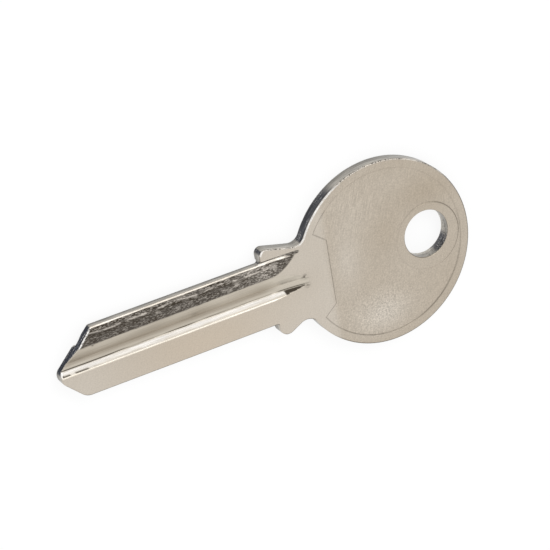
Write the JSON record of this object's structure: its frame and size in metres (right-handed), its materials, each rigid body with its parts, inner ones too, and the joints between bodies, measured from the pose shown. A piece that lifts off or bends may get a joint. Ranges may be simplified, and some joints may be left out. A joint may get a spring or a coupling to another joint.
{
  "type": "key blank",
  "caption": "Uncut round-bow key blank for a pin cylinder: coined bow with an off-centre keyring hole, shoulders, and a blade milled with grooves on both faces.",
  "frame": {"origin": "on the blade's mid-height line, in the stop plane of the upper shoulder, at the back face", "axes": "+X along the blade to the tip, +Y to the blade's plain edge, +Z out of the front face; the blank lies on its back face at z = 0"},
  "size_m": [0.0572, 0.0245, 0.0018],
  "materials": {
    "nickel_plate": "satin nickel plate on brass, with bright milled walls and a rough milled upper cut"
  },
  "bodies": {
    "root": {"key_blank": "nickel_plate"}
  },
  "joints": []
}
